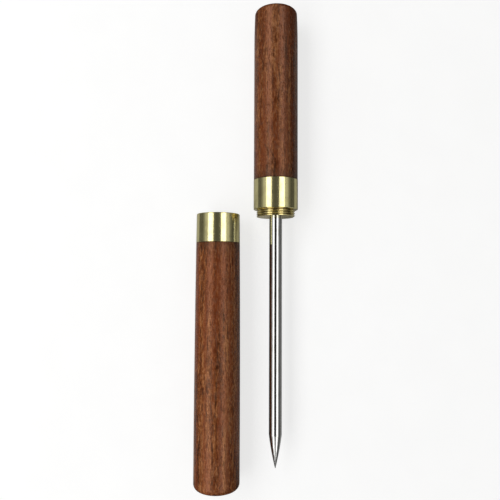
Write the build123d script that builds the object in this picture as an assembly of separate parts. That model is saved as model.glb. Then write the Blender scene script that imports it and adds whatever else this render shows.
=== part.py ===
from build123d import *
import math
import os

# A screw-together scratch awl, lying open on a surface: a turned wooden handle with a steel spike, and
# beside it the hollow wooden sheath that screws over the spike. All lengths are in millimetres.
#
# Z = 0 is the surface that both halves lie on. +Y runs along the tool, from the point to the butt of
# the handle, and the sheath lies on the -X side. The origin is at the middle of the ground they cover.
#
# Each half is made about its own axis, which is the Y axis, and is put in its place at the end:
# - the handle's Y = 0 is the face of its ferrule, and its wood is on the +Y side
# - the sheath's Y = 0 is its mouth, and its wood is on the -Y side
# With the awl closed, the two faces meet.

# ---- Handle ------------------------------------------------------------------------------------------
grip_radius = 10.03
butt_radius = 9.64
butt_taper_length = 16.0
butt_rounding = 2.0
handle_length = 92.4

# ---- Ferrules, both turned from the same thin brass tube ---------------------------------------------
handle_ferrule_radius = 10.1
handle_ferrule_length = 13.6
sheath_ferrule_length = 13.0
ferrule_edge_break = 0.25
seam_groove = 0.12

# ---- Screw joint: the play is all round, in radius, and the ridge's foot is sunk in its core -----------
thread_pitch = 1.0
thread_crest_radius = 8.75
thread_depth = 0.55
thread_crest_width = 0.2
thread_groove_width = 0.15
thread_play = 0.15
thread_relief = 0.05
ridge_sink = 0.05
boss_length = 3.3
boss_chamfer = 0.2
plug_depth = 6.0
mouth_recess = 5.0
sheath_thread_length = 4.4
countersink_depth = 0.8

# ---- Spike -------------------------------------------------------------------------------------------
spike_radius = 2.9
spike_reach = 115.9
point_length = 14.8
point_tip_radius = 0.1
point_bulge = 0.23
tang_radius = 2.25
tang_length = 32.0
tang_chamfer = 0.5

# ---- Sheath ------------------------------------------------------------------------------------------
sheath_length = 123.2
sheath_mouth_radius = 9.82
sheath_end_radius = 10.38
sheath_bulge = 0.195
sheath_end_rounding = 2.5
sheath_bore_radius = 3.5
sheath_bore_depth = 116.0

# ---- Both drilled holes, which are blind --------------------------------------------------------------
drill_point_angle = 118.0

# ---- How the two halves lie --------------------------------------------------------------------------
axis_spacing = 26.3
mouth_setback = 2.0

# ---- Worked out from the above -----------------------------------------------------------------------
# Both ferrules have one bore, just wider than the cut thread, so that the thread runs out into it.
ferrule_bore_radius = thread_crest_radius + thread_play + thread_relief
thread_root_radius = thread_crest_radius - thread_depth


def drill_point(radius):
    """Length of the cone that a twist drill of this radius leaves at the bottom of its hole."""
    return radius / math.tan(math.radians(drill_point_angle / 2))


def turned(*outline):
    """A solid of revolution about Y, from lines that run round its half section: X is the radius."""
    return revolve(make_face(Curve() + list(outline)), axis=Axis.Y)


def turned_ring(inner_radius, outer_radius, low, high):
    """A plain ring about Y between two heights."""
    corners = [(inner_radius, low), (outer_radius, low), (outer_radius, high), (inner_radius, high)]
    return turned(Polyline(*corners, close=True))


def rounded_end(solid, radius, side):
    """Rounds the outer rim of a turned solid's end: side is -1 for its lowest Y, 1 for its highest."""
    rims = solid.edges().filter_by(GeomType.CIRCLE).sort_by(Axis.Y)
    rim = rims[-1] if side > 0 else rims[0]
    return fillet(rim, radius)


def threaded_rod(root_radius, low, high):
    """A right-hand threaded rod about Y between two heights: a core with one ridge wound round it.

    Every thread is in step with Y = 0, so the two mesh when the halves are screwed right up.
    """
    crest_radius = root_radius + thread_depth
    foot_radius = root_radius - ridge_sink
    half_crest = thread_crest_width / 2
    half_root = (thread_pitch - thread_groove_width) / 2
    half_foot = half_root + (half_root - half_crest) * ridge_sink / thread_depth
    section = [
        (crest_radius, -half_crest),
        (crest_radius, half_crest),
        (foot_radius, half_foot),
        (foot_radius, -half_foot),
    ]

    # The ridge and the core are made over-long, and cut off square together.
    start = thread_pitch * (math.floor(low / thread_pitch) - 1)
    end = thread_pitch * (math.ceil(high / thread_pitch) + 1)
    helices = [
        Edge.make_helix(thread_pitch, end - start, radius, center=(0, start + offset, 0), normal=(0, 1, 0))
        for radius, offset in section
    ]
    sides = [Face.make_surface_from_curves(*pair) for pair in zip(helices, helices[1:] + helices[:1])]
    ends = [Face(Wire.make_polygon([helix @ where for helix in helices])) for where in (0, 1)]
    ridge = Solid(Shell(Face.sew_faces(sides + ends)[0]))
    core = turned_ring(0, root_radius, start - thread_pitch, end + thread_pitch)
    return (core + ridge) & turned_ring(0, 2 * crest_radius, low, high)


def sheath_radius(depth):
    """Outer radius of the sheath at a depth below its mouth: it widens gently and bellies a little."""
    t = depth / sheath_length
    straight = sheath_mouth_radius + (sheath_end_radius - sheath_mouth_radius) * t
    return straight + 4 * sheath_bulge * t * (1 - t)


def handle_grip():
    """The wooden grip, with a tenon for the ferrule and a blind hole for the spike's tang."""
    hole_bottom = plug_depth + tang_length
    hole_tip = hole_bottom + drill_point(tang_radius)
    shoulder = [
        (0, hole_tip),
        (tang_radius, hole_bottom),
        (tang_radius, plug_depth),
        (ferrule_bore_radius, plug_depth),
        (ferrule_bore_radius, handle_ferrule_length),
        (grip_radius - seam_groove, handle_ferrule_length),
        (grip_radius, handle_ferrule_length + seam_groove),
        (grip_radius, handle_length - butt_taper_length),
    ]
    taper = TangentArc(shoulder[-1], (butt_radius, handle_length), tangent=(0, 1))
    butt = Polyline((butt_radius, handle_length), (0, handle_length), shoulder[0])
    return rounded_end(turned(Polyline(*shoulder), taper, butt), butt_rounding, 1)


def handle_ferrule():
    """The brass tube round the grip's tenon and the plug."""
    outline = Polyline(
        (ferrule_bore_radius, 0),
        (handle_ferrule_radius - ferrule_edge_break, 0),
        (handle_ferrule_radius, ferrule_edge_break),
        (handle_ferrule_radius, handle_ferrule_length - seam_groove),
        (handle_ferrule_radius - seam_groove, handle_ferrule_length),
        (ferrule_bore_radius, handle_ferrule_length),
        close=True,
    )
    return turned(outline)


def threaded_plug():
    """The brass plug in the ferrule's front end: it grips the spike, and its boss carries the thread."""
    plug = turned_ring(0, ferrule_bore_radius, 0, plug_depth)
    plug += threaded_rod(thread_root_radius, -boss_length, 0)
    plug -= turned_ring(0, tang_radius, -2 * boss_length, 2 * plug_depth)
    chamfer_waste = Polyline(
        (thread_crest_radius - boss_chamfer, -boss_length),
        (thread_crest_radius, boss_chamfer - boss_length),
        (2 * thread_crest_radius, boss_chamfer - boss_length),
        (2 * thread_crest_radius, -2 * boss_length),
        (thread_crest_radius - boss_chamfer, -2 * boss_length),
        close=True,
    )
    return plug - turned(chamfer_waste)


def spike():
    """The steel spike: a straight rod ground to a point, whose shoulder bears on the boss round its tang.

    The point is nearly a cone: its side bellies out a little.
    """
    tang_end = plug_depth + tang_length
    tip = (point_tip_radius, -spike_reach)
    shoulder = (spike_radius, point_length - spike_reach)
    belly = ((tip[0] + shoulder[0]) / 2 + point_bulge, (tip[1] + shoulder[1]) / 2)
    shank_and_tang = Polyline(
        shoulder,
        (spike_radius, -boss_length),
        (tang_radius, -boss_length),
        (tang_radius, tang_end - tang_chamfer),
        (tang_radius - tang_chamfer, tang_end),
        (0, tang_end),
        (0, -spike_reach),
        tip,
    )
    return turned(ThreePointArc(tip, belly, shoulder), shank_and_tang)


def sheath_ferrule():
    """The brass mouth of the sheath, threaded inside to take the boss."""
    seam_radius = sheath_radius(sheath_ferrule_length)
    blank = Polyline(
        (0, 0),
        (sheath_mouth_radius - ferrule_edge_break, 0),
        (sheath_mouth_radius, -ferrule_edge_break),
        (seam_radius, seam_groove - sheath_ferrule_length),
        (seam_radius - seam_groove, -sheath_ferrule_length),
        (ferrule_bore_radius, -sheath_ferrule_length),
        (ferrule_bore_radius, -sheath_thread_length),
        (0, -sheath_thread_length),
        close=True,
    )
    root_radius = thread_root_radius + thread_play
    tap = threaded_rod(root_radius, -sheath_thread_length - thread_pitch, thread_pitch)
    countersink = Polyline(
        (0, -countersink_depth),
        (root_radius, -countersink_depth),
        (root_radius + 2 * countersink_depth, countersink_depth),
        (0, countersink_depth),
        close=True,
    )
    return turned(blank) - tap - turned(countersink)


def sheath_body():
    """The wooden sheath: a closed tube, drilled for the spike, with a tenon for its ferrule."""
    hole_tip = -sheath_bore_depth - drill_point(sheath_bore_radius)
    seam_radius = sheath_radius(sheath_ferrule_length)
    belly_start = -sheath_ferrule_length - seam_groove
    belly_middle = (sheath_length + sheath_ferrule_length) / 2
    inside = [
        (0, hole_tip),
        (sheath_bore_radius, -sheath_bore_depth),
        (sheath_bore_radius, -mouth_recess),
        (ferrule_bore_radius, -mouth_recess),
        (ferrule_bore_radius, -sheath_ferrule_length),
        (seam_radius - seam_groove, -sheath_ferrule_length),
        (seam_radius, belly_start),
    ]
    belly = ThreePointArc(
        inside[-1],
        (sheath_radius(belly_middle), -belly_middle),
        (sheath_end_radius, -sheath_length),
    )
    end = Polyline((sheath_end_radius, -sheath_length), (0, -sheath_length), inside[0])
    return rounded_end(turned(Polyline(*inside), belly, end), sheath_end_rounding, -1)


handle_pieces = {
    "handle_grip": handle_grip(),
    "handle_ferrule": handle_ferrule(),
    "threaded_plug": threaded_plug(),
    "spike": spike(),
}
sheath_pieces = {
    "sheath_body": sheath_body(),
    "sheath_ferrule": sheath_ferrule(),
}

# The widest part of each half touches the surface, and the origin is midway across and along the pair.
sheath_widest = sheath_pieces["sheath_body"].bounding_box().max.X
handle_x = (axis_spacing + sheath_widest - handle_ferrule_radius) / 2
handle_y = (sheath_length + mouth_setback - handle_length) / 2
handle_place = Pos(handle_x, handle_y, handle_ferrule_radius)
sheath_place = Pos(handle_x - axis_spacing, handle_y - mouth_setback, sheath_widest)

os.makedirs("parts", exist_ok=True)
for place, pieces in ((handle_place, handle_pieces), (sheath_place, sheath_pieces)):
    for name, piece in pieces.items():
        export_step(place * piece, f"parts/{name}.step")
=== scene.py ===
import math

import bpy
from mathutils import Euler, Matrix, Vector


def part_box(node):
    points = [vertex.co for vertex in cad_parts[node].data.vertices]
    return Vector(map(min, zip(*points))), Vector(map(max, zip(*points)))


# The looks of a screw-together scratch awl: a turned wooden handle with a steel spike, lying beside the
# hollow wooden sheath that screws over the spike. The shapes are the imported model's own. This script
# gives them their materials and puts them in a small studio: a pale table, a long softbox on each side,
# and a camera overhead.
#
# Lengths are in metres in the row frame, except where a name ends in mm: +Y runs from the spike's point
# to the handle's butt, and +Z is up.

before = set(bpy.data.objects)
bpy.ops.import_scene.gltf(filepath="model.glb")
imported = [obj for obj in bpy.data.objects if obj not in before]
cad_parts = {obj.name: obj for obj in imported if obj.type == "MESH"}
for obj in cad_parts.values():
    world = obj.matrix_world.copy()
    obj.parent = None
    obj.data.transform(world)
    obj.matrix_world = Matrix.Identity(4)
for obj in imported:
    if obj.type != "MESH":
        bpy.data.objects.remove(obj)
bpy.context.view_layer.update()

MM = 0.001
PER_MM = 1000.0

# ---- The awl's own sizes, which its materials need ---------------------------------------------------
point_length_mm = 14.8
thread_root_mm = 8.2
thread_crest_mm = 8.75

# ---- Studio ------------------------------------------------------------------------------------------
table_width = 4.0
softbox_length = 1.5
softbox_height = 0.62
camera_place_mm = (14.782, -13.004, 247.02)
camera_tilt = (2.687, 3.169, 0.240)
camera_view_angle = 51.34


# ---- Node helpers ------------------------------------------------------------------------------------


def is_output(value):
    """Whether value is a node's output, and not a plain number or colour."""
    return isinstance(value, bpy.types.NodeSocket)


def feed(tree, node, socket, value):
    """Gives a node's socket a number or a colour, or the output that feeds it."""
    if is_output(value):
        tree.links.new(value, node.inputs[socket])
    else:
        node.inputs[socket].default_value = value


def add(tree, kind, inputs=None, **settings):
    """A new node. inputs gives each socket, by name or number, a value or the output that feeds it."""
    node = tree.nodes.new(kind)
    for name, value in settings.items():
        setattr(node, name, value)
    for socket, value in (inputs or {}).items():
        feed(tree, node, socket, value)
    return node


def maths(tree, operation, a, b=0.0):
    """The result of one sum on numbers or outputs."""
    return add(tree, "ShaderNodeMath", {0: a, 1: b}, operation=operation).outputs[0]


def weighted_sum(tree, *terms):
    """The sum of some outputs, each times its weight."""
    total = 0.0
    for value, weight in terms:
        inputs = {0: value, 1: weight, 2: total}
        total = add(tree, "ShaderNodeMath", inputs, operation="MULTIPLY_ADD").outputs[0]
    return total


def spread(tree, value, low, high, to_low=0.0, to_high=1.0):
    """value, from low to high, spread smoothly over to_low to to_high and held at the ends."""
    inputs = {"Value": value, "From Min": low, "From Max": high, "To Min": to_low, "To Max": to_high}
    return add(tree, "ShaderNodeMapRange", inputs, interpolation_type="SMOOTHSTEP").outputs["Result"]


def mix_colours(tree, share, a, b, how="MIX"):
    """Colour a mixed with colour b: share is how much of b."""
    node = add(tree, "ShaderNodeMix", {"Factor": share}, data_type="RGBA", blend_type=how)
    for socket, colour in ((6, a), (7, b)):
        feed(tree, node, socket, colour if is_output(colour) else (*colour, 1.0))
    return node.outputs[2]


def ramp(tree, value, stops):
    """A colour ramp: stops are pairs of a place from 0 to 1 and a colour."""
    node = add(tree, "ShaderNodeValToRGB", {"Fac": value})
    elements = node.color_ramp.elements
    for element, (place, colour) in zip(elements, (stops[0], stops[-1])):
        element.position = place
        element.color = (*colour, 1.0)
    for place, colour in stops[1:-1]:
        elements.new(place).color = (*colour, 1.0)
    return node.outputs["Color"]


def place_in_mm(tree, offset=(0, 0, 0), stretch=(1, 1, 1), turn=(0, 0, 0)):
    """The surface point's place in millimetres, squeezed along each axis, then turned, then moved."""
    coordinates = add(tree, "ShaderNodeTexCoord").outputs["Object"]
    inputs = {
        "Vector": coordinates,
        "Location": offset,
        "Rotation": [math.radians(angle) for angle in turn],
        "Scale": [PER_MM * factor for factor in stretch],
    }
    return add(tree, "ShaderNodeMapping", inputs).outputs["Vector"]


def noise(tree, place, scale, detail=2.0, roughness=0.5, distortion=0.0):
    """Smooth noise about 0.5, with scale lumps in each unit of place."""
    inputs = {
        "Vector": place,
        "Scale": scale,
        "Detail": detail,
        "Roughness": roughness,
        "Distortion": distortion,
    }
    return add(tree, "ShaderNodeTexNoise", inputs).outputs["Fac"]


def along_y(tree):
    """The surface point's Y in millimetres."""
    return add(tree, "ShaderNodeSeparateXYZ", {"Vector": place_in_mm(tree)}).outputs["Y"]


def bump(tree, strength, depth_mm, height):
    """The surface's normal, tilted by a relief of this depth."""
    inputs = {"Strength": strength, "Distance": depth_mm * MM, "Height": height}
    return add(tree, "ShaderNodeBump", inputs).outputs["Normal"]


def grey(level):
    """A neutral colour."""
    return (level, level, level)


def new_material(name):
    """An empty material with its Principled shader."""
    material = bpy.data.materials.new(name)
    material.use_nodes = True
    tree = material.node_tree
    tree.nodes.clear()
    shader = add(tree, "ShaderNodeBsdfPrincipled")
    add(tree, "ShaderNodeOutputMaterial", {"Surface": shader.outputs["BSDF"]})
    return material, tree, shader


# ---- Wood --------------------------------------------------------------------------------------------


def wood(name, cut, seam_y, lightness):
    """Red-brown straight-grained hardwood, oiled and rubbed. The grain runs along Y.

    cut moves the piece about in the plank, so that no two pieces have the same grain. seam_y is where
    the piece meets its ferrule, in millimetres: the oil stands darker there. lightness scales the
    colour, because the two pieces are not from quite the same board.
    """
    material, tree, shader = new_material(name)
    grain_lean = (0.6, 0, 1.1)
    red_heart = (0.240, 0.050, 0.012)
    open_pore = (0.030, 0.012, 0.006)
    oiled_end = (0.070, 0.026, 0.011)
    stale_oil = (0.034, 0.018, 0.009)

    # Broad bands of growth, fine streaks along the grain, short flecks, and a cloudy figure.
    growth = noise(tree, place_in_mm(tree, cut, (1, 0.03, 1), grain_lean), 0.30, 3, 0.6, 0.4)
    streaks = noise(tree, place_in_mm(tree, cut, (1, 0.12, 1), grain_lean), 1.3, 4, 0.65)
    flecks = noise(tree, place_in_mm(tree, cut, (1, 0.45, 1), grain_lean), 1.4, 4, 0.7)
    figure = noise(tree, place_in_mm(tree, cut, (1, 0.45, 1)), 0.35, 4, 0.65)
    tone = weighted_sum(tree, (growth, 0.26), (streaks, 0.34), (flecks, 0.27), (figure, 0.13))
    colour = ramp(tree, tone, [
        (0.45, (0.070, 0.019, 0.006)),
        (0.482, (0.165, 0.045, 0.011)),
        (0.52, (0.265, 0.081, 0.021)),
        (0.556, (0.450, 0.178, 0.064)),
    ])
    redness = noise(tree, place_in_mm(tree, cut, (1, 0.06, 1)), 0.4, 3, 0.6)
    colour = mix_colours(tree, spread(tree, redness, 0.42, 0.6, 0.0, 0.6), colour, red_heart)

    # Open pores: short dark dashes along the grain.
    pores = noise(tree, place_in_mm(tree, cut, (1, 0.16, 1), grain_lean), 2.4, 3, 0.6)
    pore = spread(tree, pores, 0.54, 0.64)
    colour = mix_colours(tree, maths(tree, "MULTIPLY", pore, 0.55), colour, open_pore)

    # End grain drinks the oil and goes darker.
    normal = add(tree, "ShaderNodeNewGeometry").outputs["Normal"]
    facing = add(tree, "ShaderNodeSeparateXYZ", {"Vector": normal}).outputs["Y"]
    end_grain = spread(tree, maths(tree, "ABSOLUTE", facing), 0.6, 0.95, 0.0, 0.55)
    colour = mix_colours(tree, end_grain, colour, oiled_end)
    colour = mix_colours(tree, 1.0, colour, grey(lightness), "MULTIPLY")

    # Oil and the dirt of handling gather beside the brass: a dark line, and a wider shade.
    from_seam = maths(tree, "ABSOLUTE", maths(tree, "SUBTRACT", along_y(tree), seam_y))
    wide_shade = spread(tree, from_seam, 0.0, 7.0, 0.45, 0.0)
    dark_line = spread(tree, from_seam, 0.1, 0.8, 0.85, 0.0)
    colour = mix_colours(tree, maths(tree, "MAXIMUM", wide_shade, dark_line), colour, stale_oil)

    # The fibres under the oil give a red-gold sheen, broken up by the flecks.
    sheen = spread(tree, flecks, 0.38, 0.62, 0.12, 0.30)
    height = weighted_sum(tree, (flecks, 0.7), (streaks, 0.3), (pore, -0.5))
    feed(tree, shader, "Specular IOR Level", 0.85)
    feed(tree, shader, "Specular Tint", (1.0, 0.55, 0.36, 1.0))
    feed(tree, shader, "IOR", 1.45)
    feed(tree, shader, "Base Color", colour)
    feed(tree, shader, "Roughness", maths(tree, "ADD", sheen, maths(tree, "MULTIPLY", pore, 0.2)))
    feed(tree, shader, "Normal", bump(tree, 0.6, 0.12, height))
    return material


# ---- Metal -------------------------------------------------------------------------------------------


def groove_dirt_and_shade(tree, axis_x, axis_z):
    """How much painted shade and dirt darken the thread, about an axis along Y: most in its root, and
    none on its crest.

    The faces deeper in than the root have none, and it is uneven.
    """
    split = add(tree, "ShaderNodeSeparateXYZ", {"Vector": place_in_mm(tree, (-axis_x, 0, -axis_z))})
    across = add(tree, "ShaderNodeCombineXYZ", {"X": split.outputs["X"], "Z": split.outputs["Z"]})
    length = add(tree, "ShaderNodeVectorMath", {0: across.outputs["Vector"]}, operation="LENGTH")
    radius = length.outputs["Value"]
    slack_mm = 0.05
    depth = spread(tree, radius, thread_root_mm, thread_crest_mm, 0.65, 0.0)
    in_groove = maths(tree, "GREATER_THAN", radius, thread_root_mm - slack_mm)
    cloud = spread(tree, noise(tree, place_in_mm(tree), 0.6, 3, 0.6), 0.3, 0.6, 0.4, 1.0)
    return maths(tree, "MULTIPLY", maths(tree, "MULTIPLY", depth, in_groove), cloud)


def brass(name, polished, dull, line_depth_mm, thread_axis=None):
    """Turned brass: fine lines round the piece, a thin uneven patina, and dulled patches from handling.

    thread_axis gives the X and Z of a thread's axis, in millimetres: its grooves are darkened with
    painted shade, which stands also for oil and dirt there.
    """
    material, tree, shader = new_material(name)
    roughness = 0.13
    # Dark brown for the thread's grooves: painted shade, and oil and dirt.
    groove_grime_and_shade = (0.060, 0.026, 0.006)
    patina = noise(tree, place_in_mm(tree, (3, 8, 1)), 0.28, 4, 0.62)
    colour = mix_colours(tree, spread(tree, patina, 0.42, 0.72), polished, dull)
    if thread_axis:
        # Painted shade and dirt: the thread's grooves are darkened in the colour, most in the root.
        colour = mix_colours(tree, groove_dirt_and_shade(tree, *thread_axis), colour, groove_grime_and_shade)
    lines = noise(tree, place_in_mm(tree, stretch=(0.02, 1, 0.02)), 7.0, 4, 0.7)
    handled = spread(tree, patina, 0.35, 0.7, roughness, roughness * 1.35)
    tooled = spread(tree, lines, 0.35, 0.7, -0.015, 0.03)
    feed(tree, shader, "Base Color", colour)
    feed(tree, shader, "Metallic", 0.93)
    feed(tree, shader, "Roughness", maths(tree, "ADD", handled, tooled))
    feed(tree, shader, "Normal", bump(tree, 0.2, line_depth_mm, lines))
    return material


def steel(name, point_y):
    """Bright ground steel: drawn lines along the shank, and grinding lines round the point.

    point_y is where the point begins, in millimetres.
    """
    material, tree, shader = new_material(name)
    bright = (0.62, 0.62, 0.605)
    stained = (0.48, 0.47, 0.44)
    stain = noise(tree, place_in_mm(tree, (0, 5, 0), (1, 0.4, 1)), 0.5, 4, 0.6)
    drawn = noise(tree, place_in_mm(tree, stretch=(1, 0.01, 1)), 9.0, 3, 0.6)
    ground = noise(tree, place_in_mm(tree, stretch=(0.05, 1, 0.05)), 6.0, 3, 0.7)
    on_point = spread(tree, along_y(tree), point_y, point_y + 0.4, 1.0, 0.0)
    lines = add(tree, "ShaderNodeMix", {0: on_point, 2: drawn, 3: ground}).outputs[0]
    polish = spread(tree, lines, 0.35, 0.7, 0.06, 0.11)
    feed(tree, shader, "Base Color", mix_colours(tree, spread(tree, stain, 0.45, 0.75), bright, stained))
    feed(tree, shader, "Metallic", 1.0)
    feed(tree, shader, "Roughness", maths(tree, "ADD", polish, maths(tree, "MULTIPLY", on_point, 0.02)))
    feed(tree, shader, "Normal", bump(tree, 0.2, 0.0015, lines))
    return material


# ---- What each piece is made of ----------------------------------------------------------------------


def dress(node, material):
    """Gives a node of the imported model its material."""
    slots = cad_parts[node].data.materials
    slots.clear()
    slots.append(material)


handle_seam_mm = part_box("handle_ferrule")[1].y * PER_MM
sheath_seam_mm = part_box("sheath_ferrule")[0].y * PER_MM
spike_low, spike_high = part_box("spike")
spike_axis_mm = (spike_low + spike_high) / 2 * PER_MM

dress("handle_grip", wood("handle_wood", (31, 7, 12), handle_seam_mm, 0.885))
dress("sheath_body", wood("sheath_wood", (-4, 60, 45), sheath_seam_mm, 1.10))

ferrule_brass = brass("ferrule_brass", (0.88, 0.80, 0.40), (0.72, 0.64, 0.32), 0.006)
dress("handle_ferrule", ferrule_brass)
dress("sheath_ferrule", ferrule_brass)

thread_axis_mm = (spike_axis_mm.x, spike_axis_mm.z)
thread_brass = brass("thread_brass", (0.90, 0.79, 0.38), (0.74, 0.58, 0.24), 0.008, thread_axis_mm)
dress("threaded_plug", thread_brass)

dress("spike", steel("spike_steel", spike_low.y * PER_MM + point_length_mm))


# ---- Table, lights and camera ------------------------------------------------------------------------


def table_card(name):
    """Matt card that reads near white to the camera, and sends less light back to the awl.

    The strip of it under the awl shows pale in the polished metal, and beyond the strip it shows dark.
    """
    material, tree, shader = new_material(name)
    strip_reach_x = (48, 72)
    strip_reach_y = (95, 125)
    glow = (0.72, 0.72, 0.718, 1.0)

    mottle = noise(tree, place_in_mm(tree), 0.05, 3, 0.6)
    card = mix_colours(tree, spread(tree, mottle, 0.3, 0.7), (0.39, 0.39, 0.388), (0.41, 0.41, 0.408))

    split = add(tree, "ShaderNodeSeparateXYZ", {"Vector": place_in_mm(tree)})
    to_side = spread(tree, maths(tree, "ABSOLUTE", split.outputs["X"]), *strip_reach_x)
    to_end = spread(tree, maths(tree, "ABSOLUTE", split.outputs["Y"]), *strip_reach_y)
    outside = maths(tree, "MAXIMUM", to_side, to_end)
    in_metal = mix_colours(tree, outside, (0.58, 0.58, 0.57), grey(0.05))

    path = add(tree, "ShaderNodeLightPath")
    seen = path.outputs["Is Camera Ray"]
    sent_back = mix_colours(tree, path.outputs["Is Diffuse Ray"], in_metal, grey(0.22))
    grain = noise(tree, place_in_mm(tree), 3.0, 3, 0.6)
    feed(tree, shader, "Base Color", mix_colours(tree, seen, sent_back, card))
    feed(tree, shader, "Emission Color", glow)
    feed(tree, shader, "Emission Strength", seen)
    feed(tree, shader, "Roughness", 0.75)
    feed(tree, shader, "Normal", bump(tree, 0.1, 0.05, grain))
    return material


def table():
    """The flat pale surface that the awl lies on, a hair below it."""
    half = table_width / 2
    corners = [(-half, -half, 0), (half, -half, 0), (half, half, 0), (-half, half, 0)]
    mesh = bpy.data.meshes.new("table")
    mesh.from_pydata(corners, [], [(0, 1, 2, 3)])
    mesh.materials.append(table_card("table_card"))
    surface = bpy.data.objects.new("table", mesh)
    surface.location.z = -0.01 * MM
    bpy.context.scene.collection.objects.link(surface)


def softbox(name, side, power, distance, width, fills):
    """A long level softbox, out to one side of the camera: side is -1 or 1.

    One that fills lights matt surfaces too. The other gives its reflection and no more.
    """
    lamp = bpy.data.lights.new(name, "AREA")
    lamp.shape = "RECTANGLE"
    lamp.size = width
    lamp.size_y = softbox_length
    lamp.energy = power
    light = bpy.data.objects.new(name, lamp)
    light.location = (side * distance, 0, softbox_height)
    light.visible_camera = False
    light.visible_diffuse = fills
    bpy.context.scene.collection.objects.link(light)


def room():
    """The room round the table.

    The metal shows a dark ceiling over the camera, grey walls, a dark skirting, and a darker end beyond
    the spike's point. The soft light comes more from the left. The camera sees plain pale grey.
    """
    world = bpy.data.worlds.new("room")
    world.use_nodes = True
    tree = world.node_tree
    tree.nodes.clear()
    direction = add(tree, "ShaderNodeTexCoord").outputs["Generated"]
    split = add(tree, "ShaderNodeSeparateXYZ", {"Vector": direction})
    in_metal = ramp(tree, split.outputs["Z"], [
        (0.00, grey(0.04)),
        (0.10, grey(0.08)),
        (0.30, grey(0.17)),
        (0.40, grey(0.38)),
        (0.48, (0.48, 0.48, 0.47)),
        (0.80, (0.48, 0.48, 0.47)),
        (0.91, grey(0.10)),
        (1.00, grey(0.03)),
    ])
    to_point = spread(tree, split.outputs["Y"], -0.75, -0.5, 0.6, 0.0)
    in_metal = mix_colours(tree, to_point, in_metal, grey(0.02))
    to_right = spread(tree, split.outputs["X"], -1, 1)
    soft = mix_colours(tree, to_right, (0.37, 0.37, 0.365), grey(0.17))
    path = add(tree, "ShaderNodeLightPath")
    lit = mix_colours(tree, path.outputs["Is Glossy Ray"], soft, in_metal)
    lit = mix_colours(tree, path.outputs["Is Camera Ray"], lit, grey(0.88))
    background = add(tree, "ShaderNodeBackground", {"Color": lit, "Strength": 1.0})
    add(tree, "ShaderNodeOutputWorld", {"Surface": background.outputs["Background"]})
    bpy.context.scene.world = world


def camera():
    """The camera, which looks down: its tilt is its turn about X, Y and Z in degrees."""
    data = bpy.data.cameras.new("camera")
    data.sensor_fit = "HORIZONTAL"
    data.angle = math.radians(camera_view_angle)
    data.clip_start = 0.01
    eye = bpy.data.objects.new("camera", data)
    eye.location = [place * MM for place in camera_place_mm]
    eye.rotation_euler = Euler([math.radians(angle) for angle in camera_tilt], "XYZ")
    bpy.context.scene.collection.objects.link(eye)
    bpy.context.scene.camera = eye


table()
softbox("softbox_left", side=-1, power=4.2, distance=0.45, width=0.44, fills=True)
softbox("softbox_right", side=1, power=3.7, distance=0.44, width=0.42, fills=False)
room()
camera()
bpy.context.scene.view_settings.view_transform = "Standard"
